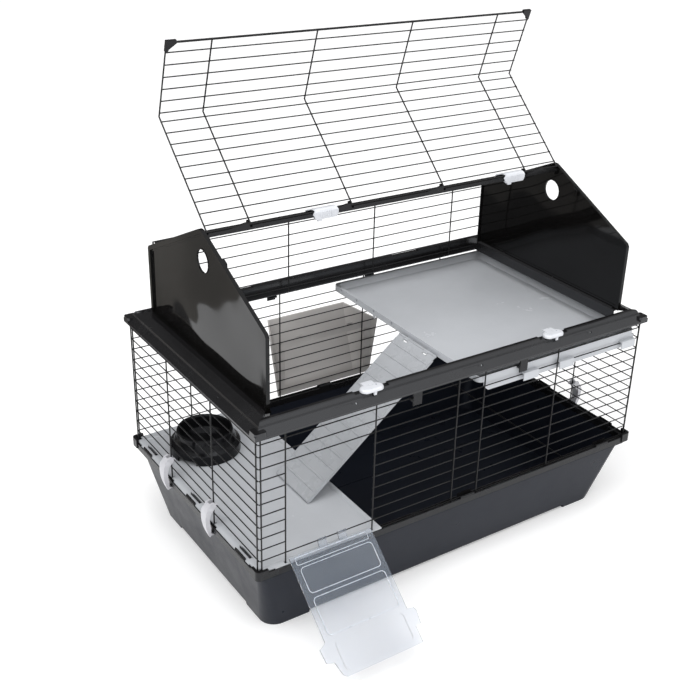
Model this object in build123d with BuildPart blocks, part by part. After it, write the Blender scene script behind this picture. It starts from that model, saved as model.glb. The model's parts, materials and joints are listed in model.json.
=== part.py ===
from build123d import *
import math
import os

os.makedirs("parts", exist_ok=True)

# ---------------------------------------------------------------------------
# Two-storey wire and plastic hutch for rabbits and guinea pigs.
# Millimetres. X along the length, -Y is the front, Z up from the floor.
# Origin: on the floor, under the middle of the base tray.
# ---------------------------------------------------------------------------

# base tray
TRAY_TOP = 162.0          # underside of the black rim frame
TRAY_HX, TRAY_HY = 482.0, 281.0      # flange
TRAY_WX, TRAY_WY = 474.0, 273.0      # outside of the wall under the flange
FOOT_HX, FOOT_HY = 440.0, 239.0      # outside of the wall at the floor
TRAY_WALL = 3.0
FOOT_H = 8.0
RIM_TOP = 176.0
RIM_HX, RIM_HY = 484.5, 283.5

# wire walls
WALL_X, WALL_Y = 477.0, 276.0
PITCH = 25.0
WIRE_V = 3.0              # uprights
WIRE_H = 2.4              # rows
OFF_V = 0.9               # uprights stand outside the wall plane
OFF_H = -1.5              # rows lie inside it
ROW_Z0 = 175.0            # lowest row, in the rim groove
ROWS = 12                 # 175 ... 450
POST_BOTTOM, POST_TOP = 171.0, 471.0
DOOR_X0, DOOR_X1 = -421.5, -226.5
DOOR_TOP_Z = 400.0
HINGE_WIRE_Z = 200.0
FRONT_UPRIGHTS = (-472.0, DOOR_X0, DOOR_X1, -30.0, 36.0, 232.5, 472.0)
REAR_UPRIGHTS = (-472.0, -345.0, -115.0, 115.0, 345.0, 472.0)
SIDE_UPRIGHTS = (-271.0, -96.0, 96.0, 271.0)

# middle frame
MID_BOT, MID_TOP = 464.5, 491.0
MID_HX, MID_HY = 486.0, 285.0
LEDGE_Z0, LEDGE_Z1 = 467.0, 470.0
LEDGE_IN = 49.0           # how far the ledge reaches in from the outer edge

# gables
GAB_X0, GAB_X1 = 432.6, 440.4
GAB_HY = 243.0
GAB_Z0 = 487.0
EAVE_Z = 639.0
APEX_Z = 753.0
GAB_RIM = 9.5
PORT_Z, PORT_R = 690.5, 22.8

# roof grilles
AX_Y, AX_Z = 9.6, 749.4   # lid hinge bar, in front of the ridge
RX_Y, RX_Z = 10.6, 743.2  # fixed bar behind the ridge
REAR_SLOPE = math.radians(22.95)
REAR_LEN = 247.4
LID_OPEN = math.radians(42.5)
BEND = math.radians(66.0)
SLOPE_LEN = 250.0
LID_WALL_LEN = 153.0
ROOF_HX = 430.5
ROOF_UPRIGHTS = (-430.5, -340.0, -114.0, 114.0, 340.0, 430.5)
HINGE_BAR_R = 1.6

# shelf, ramp, platform
SHELF_X0, SHELF_X1, SHELF_HY = 26.0, 466.0, 270.0
SHELF_TOP, SHELF_FLOOR = 446.0, 434.0
RAMP_AX, RAMP_AZ = 19.0, 434.0
RAMP_Y0, RAMP_Y1 = -136.0, -8.0
RAMP_ANGLE = math.radians(39.5)
RAMP_LEN = 397.5
PLAT_X1 = -206.0
PLAT_TOP = 177.5

# front door
DOOR_W0, DOOR_W1 = -417.0, -233.0
DOOR_LEN = 251.0
DOOR_DROP = math.radians(129.1)      # from upright to the rest pose
DOOR_N0, DOOR_N1 = 4.3, 6.8          # panel faces, measured from the hinge wire

# bowl and hay rack
BOWL_X, BOWL_Y = -366.5, 166.0
RACK_X = 11.0


# ---------------------------------------------------------------------------
# helpers: each adds to the sub-part that is being built
# ---------------------------------------------------------------------------
def rods(plane, points, dia, length, mode=Mode.ADD):
    """Round rods that start on a plane and run along its normal."""
    with BuildSketch(plane) as sk:
        with Locations(*points):
            Circle(dia / 2)
    extrude(sk.sketch, amount=length, mode=mode)


def block(x0, x1, y0, y1, z0, z1, mode=Mode.ADD):
    """A box between two corners."""
    with Locations(((x0 + x1) / 2, (y0 + y1) / 2, (z0 + z1) / 2)):
        Box(x1 - x0, y1 - y0, z1 - z0, mode=mode)


def prism_x(points, x0, x1, mode=Mode.ADD):
    """A (y, z) polygon carried from x0 to x1."""
    with BuildSketch(Plane.YZ.offset(x0)) as sk:
        with BuildLine():
            Polyline(*points, close=True)
        make_face()
    extrude(sk.sketch, amount=x1 - x0, mode=mode)


def prism_y(points, y0, y1, mode=Mode.ADD):
    """An (x, z) polygon carried from y0 to y1."""
    pl = Plane(origin=(0, y0, 0), x_dir=(1, 0, 0), z_dir=(0, -1, 0))
    with BuildSketch(pl) as sk:
        with BuildLine():
            Polyline(*points, close=True)
        make_face()
    extrude(sk.sketch, amount=-(y1 - y0), mode=mode)


def prism_z(points, z0, z1, mode=Mode.ADD):
    """An (x, y) polygon carried from z0 to z1."""
    with BuildSketch(Plane.XY.offset(z0)) as sk:
        with BuildLine():
            Polyline(*points, close=True)
        make_face()
    extrude(sk.sketch, amount=z1 - z0, mode=mode)


def ring_z(hx, hy, r_out, ix, iy, r_in, z0, z1, mode=Mode.ADD):
    """A rounded rectangular ring."""
    with BuildSketch(Plane.XY.offset(z0)) as sk:
        RectangleRounded(2 * hx, 2 * hy, r_out)
        RectangleRounded(2 * ix, 2 * iy, r_in, mode=Mode.SUBTRACT)
    extrude(sk.sketch, amount=z1 - z0, mode=mode)


def slab_z(hx, hy, r, z0, z1, mode=Mode.ADD):
    with BuildSketch(Plane.XY.offset(z0)) as sk:
        RectangleRounded(2 * hx, 2 * hy, r)
    extrude(sk.sketch, amount=z1 - z0, mode=mode)


def save(builder, name):
    builder.part.label = name
    export_step(builder.part, "parts/" + name + ".step")


YZ = lambda x: Plane(origin=(x, 0, 0), x_dir=(0, 1, 0), z_dir=(1, 0, 0))
XZ = lambda y: Plane(origin=(0, y, 0), x_dir=(-1, 0, 0), z_dir=(0, 1, 0))
ROW_ZS = [ROW_Z0 - 0.6] + [ROW_Z0 + PITCH * i for i in range(1, ROWS)]

# ---------------------------------------------------------------------------
# base tray: drawn shell with tapered walls, flange and four corner feet
# ---------------------------------------------------------------------------
with BuildPart() as base_tray:
    with BuildSketch(Plane.XY) as tray_low:
        RectangleRounded(2 * FOOT_HX, 2 * FOOT_HY, 34)
    with BuildSketch(Plane.XY.offset(TRAY_TOP)) as tray_high:
        RectangleRounded(2 * TRAY_WX, 2 * TRAY_WY, 14)
    loft([tray_low.sketch, tray_high.sketch])
    slab_z(TRAY_HX, TRAY_HY, 15, TRAY_TOP - 4, TRAY_TOP)
    with BuildSketch(Plane.XY.offset(FOOT_H + TRAY_WALL)) as in_low:
        RectangleRounded(2 * (FOOT_HX - 1), 2 * (FOOT_HY - 1), 31)
    with BuildSketch(Plane.XY.offset(TRAY_TOP)) as in_high:
        RectangleRounded(2 * (TRAY_WX - TRAY_WALL), 2 * (TRAY_WY - TRAY_WALL), 11)
    loft([in_low.sketch, in_high.sketch], mode=Mode.SUBTRACT)
    # the floor is raised between the feet
    block(-345, 345, -400, 400, -1, FOOT_H, mode=Mode.SUBTRACT)
    block(-600, 600, -152, 152, -1, FOOT_H, mode=Mode.SUBTRACT)
    # moulded pad under the middle of the floor, level with the feet
    block(-20, 20, -20, 20, 0, FOOT_H + 0.5)
    # two long stiffening swages in the floor
    for sy in (-1, 1):
        block(-360, 360, sy * 95 - 6, sy * 95 + 6, FOOT_H, FOOT_H + TRAY_WALL + 1.6)
save(base_tray, "base_tray")

# ---------------------------------------------------------------------------
# black rim frame on the tray, with a groove for the feet of the wire walls
# ---------------------------------------------------------------------------
with BuildPart() as rim_frame:
    ring_z(RIM_HX, RIM_HY, 16, TRAY_WX - 4.0, TRAY_WY - 4.0, 6, TRAY_TOP, RIM_TOP)
    ring_z(WALL_X + 3.2, WALL_Y + 3.2, 6, WALL_X - 4.2, WALL_Y - 4.2, 3,
           POST_BOTTOM, RIM_TOP, mode=Mode.SUBTRACT)
    # raised corner blocks outside the wires
    with BuildSketch(Plane.XY.offset(TRAY_TOP + 2)) as sk:
        RectangleRounded(2 * 487.0, 2 * 286.0, 9)
        RectangleRounded(2 * 480.9, 2 * 279.9, 1, mode=Mode.SUBTRACT)
        Rectangle(2 * 462.0, 700, mode=Mode.SUBTRACT)
        Rectangle(1100, 2 * 261.0, mode=Mode.SUBTRACT)
    extrude(sk.sketch, amount=RIM_TOP + 8 - TRAY_TOP - 2)
save(rim_frame, "tray_rim_frame")

# hooks on the rim that hold the lowest row of each wall down
with BuildPart() as rim_hooks:
    for sx in (-1, 1):
        for yc in (-211.0, 0.0, 211.0):
            prism_y([(sx * 470.2, RIM_TOP), (sx * 470.2, RIM_TOP + 4), (sx * 472.4, RIM_TOP + 8),
                     (sx * 472.4, RIM_TOP)], yc - 20, yc + 20)
            prism_y([(sx * 480.4, RIM_TOP), (sx * 480.4, RIM_TOP + 6.5), (sx * 481.8, RIM_TOP + 6.5),
                     (sx * 484.2, RIM_TOP + 2), (sx * 484.2, RIM_TOP)], yc - 20, yc + 20)
    for sy in (-1, 1):
        for xc in (10.0, 400.0):
            prism_x([(sy * 269.2, RIM_TOP), (sy * 269.2, RIM_TOP + 4), (sy * 271.4, RIM_TOP + 8),
                     (sy * 271.4, RIM_TOP)], xc - 18, xc + 18)
            prism_x([(sy * 279.4, RIM_TOP), (sy * 279.4, RIM_TOP + 4), (sy * 282.6, RIM_TOP + 4),
                     (sy * 283.2, RIM_TOP + 2), (sy * 283.2, RIM_TOP)], xc - 18, xc + 18)
save(rim_hooks, "rim_wall_hooks")

# ---------------------------------------------------------------------------
# lower wire walls
# ---------------------------------------------------------------------------
YV, YH = WALL_Y + OFF_V, WALL_Y + OFF_H
XV, XH = WALL_X + OFF_V, WALL_X + OFF_H
POST_LEN = POST_TOP - POST_BOTTOM

with BuildPart() as front_wire_wall:
    # left of the doorway
    rods(YZ(-474.5), [(-YH, z) for z in ROW_ZS], WIRE_H, 474.5 + DOOR_X0 + 1.5)
    rods(Plane.XY.offset(POST_BOTTOM), [(x, -YV) for x in FRONT_UPRIGHTS[:2]], WIRE_V, POST_LEN)
    # right of the doorway
    rods(YZ(DOOR_X1 - 1.5), [(-YH, z) for z in ROW_ZS], WIRE_H, 474.5 - DOOR_X1 + 1.5)
    rods(Plane.XY.offset(POST_BOTTOM), [(x, -YV) for x in FRONT_UPRIGHTS[2:]], WIRE_V, POST_LEN)
save(front_wire_wall, "front_wire_wall")

with BuildPart() as doorway_rows:
    # rows that cross the doorway: three above it, the hinge row and the row in the rim groove
    rods(YZ(DOOR_X0 + 1.5), [(-YH, z) for z in ROW_ZS if z >= DOOR_TOP_Z or z <= HINGE_WIRE_Z],
         WIRE_H, DOOR_X1 - DOOR_X0 - 3.0)
save(doorway_rows, "doorway_rows")

with BuildPart() as rear_wire_wall:
    rods(YZ(-474.5), [(YH, z) for z in ROW_ZS], WIRE_H, 949)
    rods(Plane.XY.offset(POST_BOTTOM), [(x, YV) for x in REAR_UPRIGHTS], WIRE_V, POST_LEN)
save(rear_wire_wall, "rear_wire_wall")

for side, sx in (("left", -1), ("right", 1)):
    with BuildPart() as side_wall:
        rods(Plane(origin=(0, -273.0, 0), x_dir=(1, 0, 0), z_dir=(0, 1, 0)),
             [(sx * XH, -z) for z in ROW_ZS], WIRE_H, 546)
        rods(Plane.XY.offset(POST_BOTTOM), [(sx * XV, y) for y in SIDE_UPRIGHTS], WIRE_V, POST_LEN)
    save(side_wall, side + "_wire_wall")

# brace across the tray at rim height
with BuildPart() as cross_brace:
    rods(Plane(origin=(0, -271.6, 0), x_dir=(1, 0, 0), z_dir=(0, 1, 0)),
         [(284.6, -(RIM_TOP + 1.5))], 3.0, 543.2)
save(cross_brace, "cross_brace")

# ---------------------------------------------------------------------------
# middle frame: four thin-walled beams, mitred at the corners
# (u is the distance out from the middle of the cage)
# ---------------------------------------------------------------------------
def beam_outline(edge, inner_top, inner_wall, ledge):
    """Outer skin of a beam; edge is the outer edge."""
    return [(edge, MID_BOT), (edge, MID_BOT + 4), (edge - 14, MID_BOT + 16), (edge - 15.5, MID_BOT + 20),
            (edge - 19, MID_BOT + 25.5), (edge - 22, MID_TOP)] + inner_top + \
           [(inner_wall, LEDGE_Z1), (ledge, LEDGE_Z1), (ledge, LEDGE_Z0), (inner_wall + 2.5, LEDGE_Z0),
            (inner_wall + 2.5, MID_BOT)]


def front_section(s):
    pts = beam_outline(MID_HY, [(256.0, MID_TOP)], 256.0, MID_HY - LEDGE_IN)
    return [(s * u, z) for u, z in pts]


def front_cavity(s):
    c = WALL_Y + 0.2
    pts = [(258.5, MID_BOT - 1), (258.5, MID_TOP - 2.5), (262.5, MID_TOP - 2.5), (266.5, 484.0),
           (268.0, 479.5), (c - 3.2, 475.4), (c - 3.2, POST_TOP), (c + 3.2, POST_TOP), (c + 3.2, 470.0), (282.6, 467.4),
           (282.6, MID_BOT - 1)]
    return [(s * u, z) for u, z in pts]


LID_LATCH_XS = (-231.0, 222.0)
LATCH_SEAT_Z = 488.2


def corner_caps(xs, ys):
    """Moulded blocks on the outer corners; each mitred beam takes its own half."""
    for sx in xs:
        for sy in ys:
            with BuildSketch(Plane.XY.offset(MID_BOT + 8)) as sk:
                with Locations((sx * (MID_HX - 12), sy * (MID_HY - 12))):
                    RectangleRounded(24, 24, 5)
            extrude(sk.sketch, amount=6.5)
            x0, x1 = sorted((sx * (MID_HX - 22), sx * MID_HX))
            y0, y1 = sorted((sy * (MID_HY - 2.4), sy * MID_HY))
            block(x0, x1, y0, y1, MID_BOT, MID_BOT + 9)
            x0, x1 = sorted((sx * (MID_HX - 2.4), sx * MID_HX))
            y0, y1 = sorted((sy * (MID_HY - 22), sy * MID_HY))
            block(x0, x1, y0, y1, MID_BOT, MID_BOT + 9)


for side, s in (("front", -1), ("rear", 1)):
    with BuildPart() as fr_beam:
        prism_x(front_section(s), -MID_HX, MID_HX)
        prism_x(front_cavity(s), -MID_HX - 1, MID_HX + 1, mode=Mode.SUBTRACT)
        corner_caps((-1, 1), (s,))
        for sx in (-1, 1):
            prism_z([(sx * 486, s * 285), (sx * 437, s * 236), (sx * 500, s * 230), (sx * 500, s * 299)],
                    MID_BOT - 2, MID_TOP + 2, mode=Mode.SUBTRACT)
        # small holes and finger slots in the sloping fascia, slots in the inner ledge
        for xh in (-271.0, 25.0, 321.0):
            with BuildSketch(Plane(origin=(0, s * 277.0, 476.0), x_dir=(1, 0, 0),
                                   z_dir=(0, s * 0.65, 0.76))) as sk:
                with Locations((xh, 0.8 * (1 if s < 0 else -1))):
                    Circle(2.4)
            extrude(sk.sketch, amount=9, both=True, mode=Mode.SUBTRACT)
            with BuildSketch(Plane(origin=(0, s * (277.0 - 0.65 * 1.2), 476.0 - 0.76 * 1.2), x_dir=(1, 0, 0),
                                   z_dir=(0, s * 0.65, 0.76))) as sk:
                with Locations((xh - 29, 2.2 * (1 if s < 0 else -1))):
                    SlotOverall(42, 4.4)
            extrude(sk.sketch, amount=4, mode=Mode.SUBTRACT)
        with BuildSketch(Plane.XY.offset(LEDGE_Z1 - 1.0)) as sk:
            with Locations((-406, s * 248.5), (406, s * 248.5), (5, s * 248.5)):
                SlotOverall(54, 8)
        extrude(sk.sketch, amount=1.6, mode=Mode.SUBTRACT)
        # seats for the two lid latches (front) and matching seats behind
        for xc in LID_LATCH_XS:
            block(xc - 40, xc + 40, min(s * 256.5, s * 266.6), max(s * 256.5, s * 266.6), 484.6, LATCH_SEAT_Z)
            block(xc - 38, xc + 38, min(s * 250, s * 290), max(s * 250, s * 290), LATCH_SEAT_Z, MID_TOP + 2,
                  mode=Mode.SUBTRACT)
        # shallow finger recess in the top, near each end
        for xr in (-406, 406):
            block(xr - 21, xr + 21, min(s * 258.5, s * 262), max(s * 258.5, s * 262), MID_TOP - 1.2, MID_TOP + 1,
                  mode=Mode.SUBTRACT)
    save(fr_beam, "mid_frame_" + side)

for side, s in (("left", -1), ("right", 1)):
    with BuildPart() as side_beam:
        sec = [(MID_HX, MID_BOT), (MID_HX, MID_BOT + 4), (MID_HX - 14, MID_BOT + 16), (MID_HX - 15.5, MID_BOT + 20),
               (452.0, 489.5), (451.0, MID_TOP), (GAB_X1, MID_TOP), (GAB_X1, GAB_Z0), (GAB_X0, GAB_Z0),
               (GAB_X0, MID_TOP), (430.2, MID_TOP), (427.0, 487.0), (427.0, MID_BOT), (429.5, MID_BOT),
               (429.5, 484.4), (450.0, 484.4), (468.0, 481.6), (469.6, 478.0), (473.6, 475.4), (473.6, POST_TOP),
               (480.4, POST_TOP), (480.4, 470.0), (483.6, 467.4), (483.6, MID_BOT)]
        prism_y([(s * u, z) for u, z in sec], -MID_HY, MID_HY)
        corner_caps((s,), (-1, 1))
        for sy in (-1, 1):
            prism_z([(s * 486, sy * 285), (s * 437, sy * 236), (s * 420, sy * 236), (s * 420, sy * 300),
                     (s * 486, sy * 300)], MID_BOT - 2, MID_TOP + 2, mode=Mode.SUBTRACT)
        for yh in (-127.0, 182.0):
            with BuildSketch(Plane(origin=(s * 478.0, 0, 476.0), x_dir=(0, 1, 0),
                                   z_dir=(s * 0.65, 0, 0.76))) as sk:
                with Locations((yh, 0.8 * s)):
                    Circle(2.4)
            extrude(sk.sketch, amount=9, both=True, mode=Mode.SUBTRACT)
            with BuildSketch(Plane(origin=(s * (478.0 - 0.65 * 1.2), 0, 476.0 - 0.76 * 1.2), x_dir=(0, 1, 0),
                                   z_dir=(s * 0.65, 0, 0.76))) as sk:
                with Locations((yh - 30, 2.2 * s)):
                    SlotOverall(40, 4.4)
            extrude(sk.sketch, amount=4, mode=Mode.SUBTRACT)
        with Locations((s * 462.0, -50.0, 484)):
            Cylinder(2.2, 14, mode=Mode.SUBTRACT)
        # recesses in the inner lip for the lid's corner caps when the lid is shut
        for sy in (-1, 1):
            x0, x1 = sorted((s * 426.0, s * GAB_X0))
            y0, y1 = sorted((sy * 228.5, sy * 242.0))
            block(x0, x1, y0, y1, 488.3, MID_TOP + 1, mode=Mode.SUBTRACT)
    save(side_beam, "mid_frame_" + side)

# snap hooks that reach down from the middle frame and catch the top free row
with BuildPart() as frame_hooks:
    for s in (-1, 1):
        for xc in (-135.0, 132.0):
            prism_x([(s * 282.6, MID_BOT), (s * 282.6, 437), (s * 281.2, 435), (s * 279.2, 436.5), (s * 279.2, 443.4),
                     (s * 271.5, 443.4), (s * 271.5, 446.5), (s * 273.5, 448.4), (s * 279.2, 448.4), (s * 279.2, MID_BOT)],
                    xc - 10, xc + 10)
            block(xc - 10, xc + 10, min(s * 279.2, s * 282.6), max(s * 279.2, s * 282.6), MID_BOT, 467.4)
save(frame_hooks, "frame_snap_hooks")

# ---------------------------------------------------------------------------
# gables: thin glossy panel in a rim, with a round window near the ridge
# ---------------------------------------------------------------------------
GAB_ANG = math.atan2(APEX_Z - EAVE_Z, GAB_HY - 5.0)


def gable_points(inset, base=0.0):
    """Outline with clipped eaves, moved inwards by inset."""
    y_w = GAB_HY - inset
    z_line = lambda y: EAVE_Z - inset / math.cos(GAB_ANG) + (GAB_HY - y) * math.tan(GAB_ANG)
    y_a = max(5.0 - inset * 0.4, 0.8)
    clip = max(4.0 - inset * 0.3, 1.0)
    half = [(y_w, GAB_Z0 + base), (y_w, z_line(y_w) - clip), (y_w - clip, z_line(y_w - clip)), (y_a, z_line(y_a))]
    return [(-y, z) for y, z in half] + half[::-1]


for side, s in (("left", -1), ("right", 1)):
    # distances out from the middle of the cage, along x
    def span(u0, u1):
        return sorted((s * u0, s * u1))
    with BuildPart() as gable:
        prism_x(gable_points(0), *span(GAB_X0, GAB_X1))
        prism_x(gable_points(GAB_RIM, GAB_RIM), *span(GAB_X0 - 1, GAB_X0 + 0.9), mode=Mode.SUBTRACT)
        prism_x(gable_points(GAB_RIM, GAB_RIM), *span(GAB_X0 + 3.5, GAB_X1 + 1), mode=Mode.SUBTRACT)
        # lower step just inside the rim, outer face
        x0, x1 = span(GAB_X0 + 3.4, GAB_X0 + 4.9)
        with BuildSketch(YZ(x0)) as sk:
            with BuildLine():
                Polyline(*gable_points(GAB_RIM - 0.5, GAB_RIM - 0.5), close=True)
            make_face()
            with BuildLine():
                Polyline(*gable_points(GAB_RIM + 3.5, GAB_RIM + 3.5), close=True)
            make_face(mode=Mode.SUBTRACT)
        extrude(sk.sketch, amount=x1 - x0)
        # window collar and hole
        x0, x1 = span(GAB_X0 + 0.4, GAB_X0 + 4.4)
        with BuildSketch(YZ(x0)) as sk:
            with Locations((0, PORT_Z)):
                Circle(PORT_R + 2.4)
        extrude(sk.sketch, amount=x1 - x0)
        with BuildSketch(YZ(min(s * 420, s * 445))) as sk:
            with Locations((0, PORT_Z)):
                Circle(PORT_R)
        extrude(sk.sketch, amount=25, mode=Mode.SUBTRACT)
        # rest lug for the lid on the inner side of the front slope, between two rows
        top = lambda y: AX_Z + (y + AX_Y) * math.tan(math.radians(24.4)) - 2.2
        prism_x([(-71, top(-71)), (-73, top(-73)), (-83, top(-83)), (-84, top(-84) - 2), (-84, top(-84) - 12),
                 (-78, top(-84) - 14), (-71, top(-84) - 12)], *span(427.8, GAB_X0 + 1))
        # socket lug that carries the end of the ridge beam
        prism_x([(-11, 731.0), (11, 731.0), (11, 738.6), (-11, 738.6)], *span(425.0, GAB_X0 + 1))
        # two screw bosses at the foot
        for yb in (-160, 160):
            x0, x1 = span(GAB_X0 + 3.0, GAB_X1)
            with BuildSketch(YZ(x0)) as sk:
                with Locations((yb, GAB_Z0 + 16)):
                    Circle(4.5)
            extrude(sk.sketch, amount=x1 - x0)
    save(gable, "gable_" + side)

# ---------------------------------------------------------------------------
# ridge beam with hinge clips and rest lugs for the lid
# ---------------------------------------------------------------------------
CLIP_XS = (-349.0, -124.0, 106.0, 386.0)
with BuildPart() as ridge_beam:
    prism_x([(-12.0, 739.0), (-12.0, 747.2), (-7.2, 747.2), (-6.6, 743.4), (-1.6, 743.4), (-1.6, 742.6), (1.6, 742.6),
             (1.6, 743.4), (12.6, 743.4), (12.6, 739.0), (10.4, 739.0), (10.4, 741.0), (-9.8, 741.0), (-9.8, 739.0)],
            -GAB_X0, GAB_X0)
    # cross webs under the top plate
    for xw in (-432.0, -300.0, -150.0, 0.0, 150.0, 300.0, 430.0):
        block(xw - 1 if xw > 0 else xw, xw + 1, -10.5, 11.0, 739.4, 742.0)
    # wedge-shaped clips: the lid's hinge bar snaps in behind them
    for xc in CLIP_XS:
        prism_y([(xc - 40, 743.5), (xc + 5, 743.5), (xc + 5, 753.6), (xc - 3, 753.6), (xc - 40, 747.0)], -12.0, -7.0)
        block(xc - 20, xc + 5, -7.5, -3.0, 742.6, 746.0)
    rods(YZ(-GAB_X0 - 1), [(-AX_Y, AX_Z)], 2 * (HINGE_BAR_R + 0.07), 2 * GAB_X0 + 2, mode=Mode.SUBTRACT)
    rods(YZ(-GAB_X0 - 1), [(RX_Y, RX_Z)], 2 * (HINGE_BAR_R + 0.02), 2 * GAB_X0 + 2, mode=Mode.SUBTRACT)
    # notches for the uprights of the rear grille
    rods(Plane(origin=(0, RX_Y, RX_Z), x_dir=(1, 0, 0), z_dir=(0, math.cos(REAR_SLOPE), -math.sin(REAR_SLOPE))),
         [(x, 0) for x in ROOF_UPRIGHTS], WIRE_V + 0.3, 9, mode=Mode.SUBTRACT)
    # notches for the lid's uprights when the lid is shut
    for x in ROOF_UPRIGHTS:
        block(x - 2.5, x + 2.5, -12.8, -7.4, 743.9, 758.0, mode=Mode.SUBTRACT)
    # rest lugs that stop the open lid
    for xc in (-340.0, -114.0, 114.0, 340.0):
        prism_x([(-4.6, 742.6), (-4.6, 751.4), (-0.6, 755.0), (2.6, 754.0), (4.6, 742.6)], xc - 3, xc + 3)
save(ridge_beam, "ridge_beam")

# ---------------------------------------------------------------------------
# roof grilles. Each has a sloping part and an upright part; rows lie on the
# inner side of the uprights.
# ---------------------------------------------------------------------------
def roof_frame(y0, z0, ang, slope_len, wall_ang):
    """Hinge point, kink point and the two directions, in (y, z)."""
    d1 = (math.cos(ang), math.sin(ang))
    k = (y0 + slope_len * d1[0], z0 + slope_len * d1[1])
    d2 = (math.cos(wall_ang), math.sin(wall_ang))
    return d1, k, d2


def grille_strip(origin, d, n, uprights, length, start, first, count, pad0, cut_planes):
    """Uprights from start to length along d, rows at first + i*PITCH, offset along n."""
    pl = Plane(origin=(0, origin[0] + d[0] * start, origin[1] + d[1] * start), x_dir=(1, 0, 0),
               z_dir=(0, d[0], d[1]))
    rods(pl, [(x, 0) for x in uprights], WIRE_V, length - start)
    rows = []
    for i in range(count):
        s_ = first + PITCH * i
        rows.append((origin[0] + d[0] * s_ + n[0] * 2.4, origin[1] + d[1] * s_ + n[1] * 2.4))
    rods(YZ(-ROOF_HX), rows, WIRE_H, 2 * ROOF_HX)


def cope(y, z, r):
    """Saddle-shaped ends where uprights meet a bar."""
    rods(YZ(-ROOF_HX - 6), [(y, z)], 2 * r + 0.02, 2 * ROOF_HX + 12, mode=Mode.SUBTRACT)


def kink_cut(k, d1, d2, keep_first):
    """Half-space block on the far side of the bisector through the kink."""
    b = (d1[0] + d2[0], d1[1] + d2[1])
    m = math.hypot(*b)
    b = (b[0] / m, b[1] / m)
    p = (-b[1], b[0])
    s = 1 if keep_first else -1
    c = [(k[0] + p[0] * 12, k[1] + p[1] * 12), (k[0] - p[0] * 12, k[1] - p[1] * 12),
         (k[0] - p[0] * 12 + s * b[0] * 24, k[1] - p[1] * 12 + s * b[1] * 24),
         (k[0] + p[0] * 12 + s * b[0] * 24, k[1] + p[1] * 12 + s * b[1] * 24)]
    prism_x(c, -ROOF_HX - 5, ROOF_HX + 5, mode=Mode.SUBTRACT)


# lid in its rest pose: open, leaning back
lid_d1, lid_k, lid_d2 = roof_frame(-AX_Y, AX_Z, LID_OPEN, SLOPE_LEN, LID_OPEN + BEND)
lid_n1 = (-lid_d1[1], lid_d1[0])
lid_n2 = (-lid_d2[1], lid_d2[0])
INNER = (-ROOF_HX + 0.0, ROOF_HX)

with BuildPart() as lid_slope:
    grille_strip((-AX_Y, AX_Z), lid_d1, lid_n1, ROOF_UPRIGHTS, SLOPE_LEN + 4, 0.8, 12.0, 10, 0, None)
    kink_cut(lid_k, lid_d1, lid_d2, True)
    cope(-AX_Y, AX_Z, HINGE_BAR_R)
save(lid_slope, "lid_slope_grille")

with BuildPart() as lid_wall:
    grille_strip(lid_k, lid_d2, lid_n2, ROOF_UPRIGHTS, LID_WALL_LEN - 1.2, -4.0, 9.5, 6, 0, None)
    kink_cut(lid_k, lid_d1, lid_d2, False)
    cope(lid_k[0] + lid_d2[0] * LID_WALL_LEN, lid_k[1] + lid_d2[1] * LID_WALL_LEN, 2.1)
save(lid_wall, "lid_wall_grille")

with BuildPart() as lid_hinge_bar:
    rods(YZ(-ROOF_HX - 1.5), [(-AX_Y, AX_Z)], 2 * HINGE_BAR_R, 2 * ROOF_HX + 3)
save(lid_hinge_bar, "lid_hinge_bar")

LID_END = (lid_k[0] + lid_d2[0] * LID_WALL_LEN, lid_k[1] + lid_d2[1] * LID_WALL_LEN)
with BuildPart() as lid_end_bar:
    rods(YZ(-ROOF_HX + 1.6), [LID_END], 4.2, 2 * ROOF_HX - 3.2)
save(lid_end_bar, "lid_end_bar")

# triangular corner caps on the ends of the lid's end bar
cap_pl = Plane(origin=(0, LID_END[0], LID_END[1]), x_dir=(1, 0, 0), z_dir=(0, lid_n2[0], lid_n2[1]))
with BuildPart() as lid_caps:
    for s in (-1, 1):
        with BuildSketch(cap_pl) as sk:
            with BuildLine():
                Polyline((s * 432.2, 4.4), (s * 411.5, 4.4), (s * 411.5, -1.6), (s * 425.0, -12.5), (s * 427.4, -17.5),
                         (s * 432.2, -17.5), close=True)
            make_face()
        extrude(sk.sketch, amount=3.1, both=True)
    # hollow for the bar and for the end upright
    rods(YZ(-ROOF_HX - 1.0), [LID_END], 4.26, 2 * ROOF_HX + 2, mode=Mode.SUBTRACT)
    pl = Plane(origin=(0, lid_k[0] + lid_d2[0] * 100, lid_k[1] + lid_d2[1] * 100), x_dir=(1, 0, 0),
               z_dir=(0, lid_d2[0], lid_d2[1]))
    rods(pl, [(-430.5, 0), (430.5, 0)], 3.06, LID_WALL_LEN - 100, mode=Mode.SUBTRACT)
    rows_pt = [(lid_k[0] + lid_d2[0] * (9.5 + PITCH * 5) + lid_n2[0] * 2.4,
                lid_k[1] + lid_d2[1] * (9.5 + PITCH * 5) + lid_n2[1] * 2.4)]
    rods(YZ(-ROOF_HX - 3), rows_pt, 2.46, 2 * ROOF_HX + 6, mode=Mode.SUBTRACT)
save(lid_caps, "lid_corner_caps")

# rear half of the roof and the upper rear wall: fixed
rear_d1, rear_k, rear_d2 = roof_frame(RX_Y, RX_Z, -REAR_SLOPE, REAR_LEN, -math.pi / 2)
rear_n1 = (rear_d1[1], -rear_d1[0])
rear_n2 = (rear_d2[1], -rear_d2[0])
REAR_WALL_LEN = rear_k[1] - LEDGE_Z1
with BuildPart() as rear_roof:
    grille_strip((RX_Y, RX_Z), rear_d1, rear_n1, ROOF_UPRIGHTS, REAR_LEN + 4, 0.8, 12.0, 10, 0, None)
    kink_cut(rear_k, rear_d1, rear_d2, True)
    cope(RX_Y, RX_Z, HINGE_BAR_R)
save(rear_roof, "rear_roof_grille")

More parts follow.
